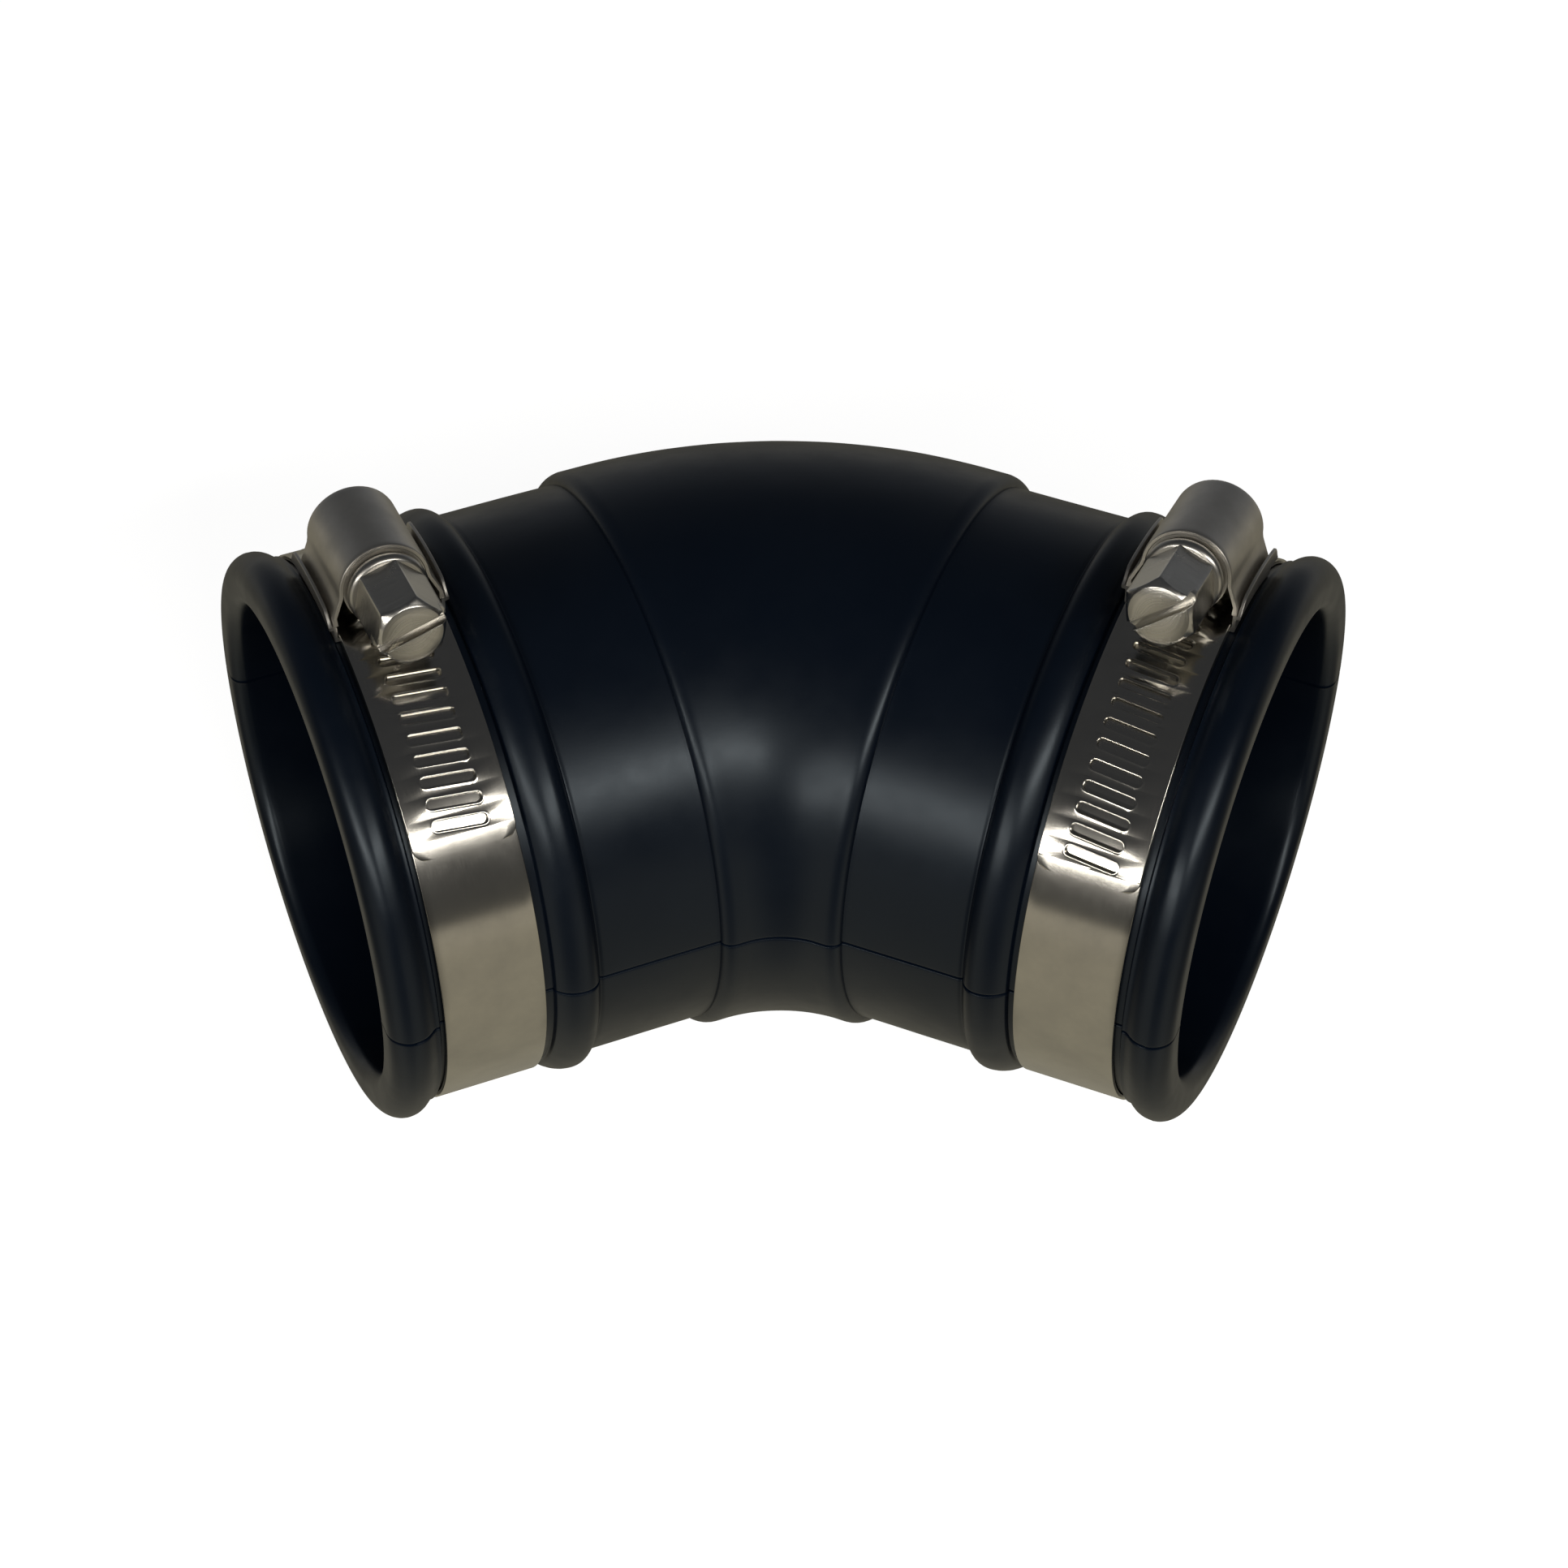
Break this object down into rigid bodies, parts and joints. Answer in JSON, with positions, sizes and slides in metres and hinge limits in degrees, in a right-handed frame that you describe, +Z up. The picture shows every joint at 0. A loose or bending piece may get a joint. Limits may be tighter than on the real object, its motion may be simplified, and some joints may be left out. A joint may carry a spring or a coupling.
{
  "type": "pipe coupling",
  "caption": "Flexible rubber elbow coupling, bent 45 degrees, with plain pipe sockets and a worm-drive steel band clamp in the groove round each arm.",
  "frame": {"origin": "middle of the bounding box's bottom face, on the surface that the coupling lies on", "axes": "+X across the two mouths, along the longest side; +Y away from the mouths, towards the outside of the bend; +Z up, square to the plane of the bend"},
  "size_m": [0.1452, 0.0902, 0.084],
  "materials": {
    "rubber": "satin moulded black rubber with a faint blue cast",
    "band_steel": "bright rolled stainless strip, lightly scuffed",
    "housing_steel": "satin pressed stainless sheet",
    "screw_steel": "bright turned and rolled stainless"
  },
  "bodies": {
    "elbow": {"elbow": "rubber"},
    "clamp_left": {"band_left": "band_steel", "saddle_left": "housing_steel", "housing_left": "housing_steel"},
    "screw_left": {"screw_left": "screw_steel"},
    "tail_left": {"tail_left": "band_steel"},
    "clamp_right": {"band_right": "band_steel", "saddle_right": "housing_steel", "housing_right": "housing_steel"},
    "screw_right": {"screw_right": "screw_steel"},
    "tail_right": {"tail_right": "band_steel"}
  },
  "joints": [
    {"name": "clamp_left_turn", "type": "hinge", "parent": "elbow", "child": "clamp_left", "pos_m": [-0.04735, -0.00723, 0.0365], "axis": [0.9239, 0.3827, 0], "continuous": true},
    {"name": "screw_left_turn", "type": "hinge", "parent": "clamp_left", "child": "screw_left", "pos_m": [-0.04949, -0.00207, 0.07626], "axis": [-0.379, 0.9149, -0.1392], "range_deg": [-3600, 1440]},
    {"name": "tail_left_travel", "type": "hinge", "parent": "clamp_left", "child": "tail_left", "pos_m": [-0.04735, -0.00723, 0.0365], "axis": [0.9239, 0.3827, 0], "range_deg": [-42.1, 16.9]},
    {"name": "clamp_right_turn", "type": "hinge", "parent": "elbow", "child": "clamp_right", "pos_m": [0.04707, -0.00712, 0.0365], "axis": [0.9239, -0.3827, 0], "continuous": true},
    {"name": "screw_right_turn", "type": "hinge", "parent": "clamp_right", "child": "screw_right", "pos_m": [0.05027, 0.00059, 0.07577], "axis": [0.3743, 0.9037, -0.2079], "range_deg": [-4320, 720]},
    {"name": "tail_right_travel", "type": "hinge", "parent": "clamp_right", "child": "tail_right", "pos_m": [0.04707, -0.00712, 0.0365], "axis": [0.9239, -0.3827, 0], "range_deg": [-50.5, 8.5]}
  ],
  "couplings": [
    {"joint": "tail_left_travel", "follows": "screw_left_turn", "ratio": 0.011667},
    {"joint": "tail_right_travel", "follows": "screw_right_turn", "ratio": 0.011667}
  ]
}
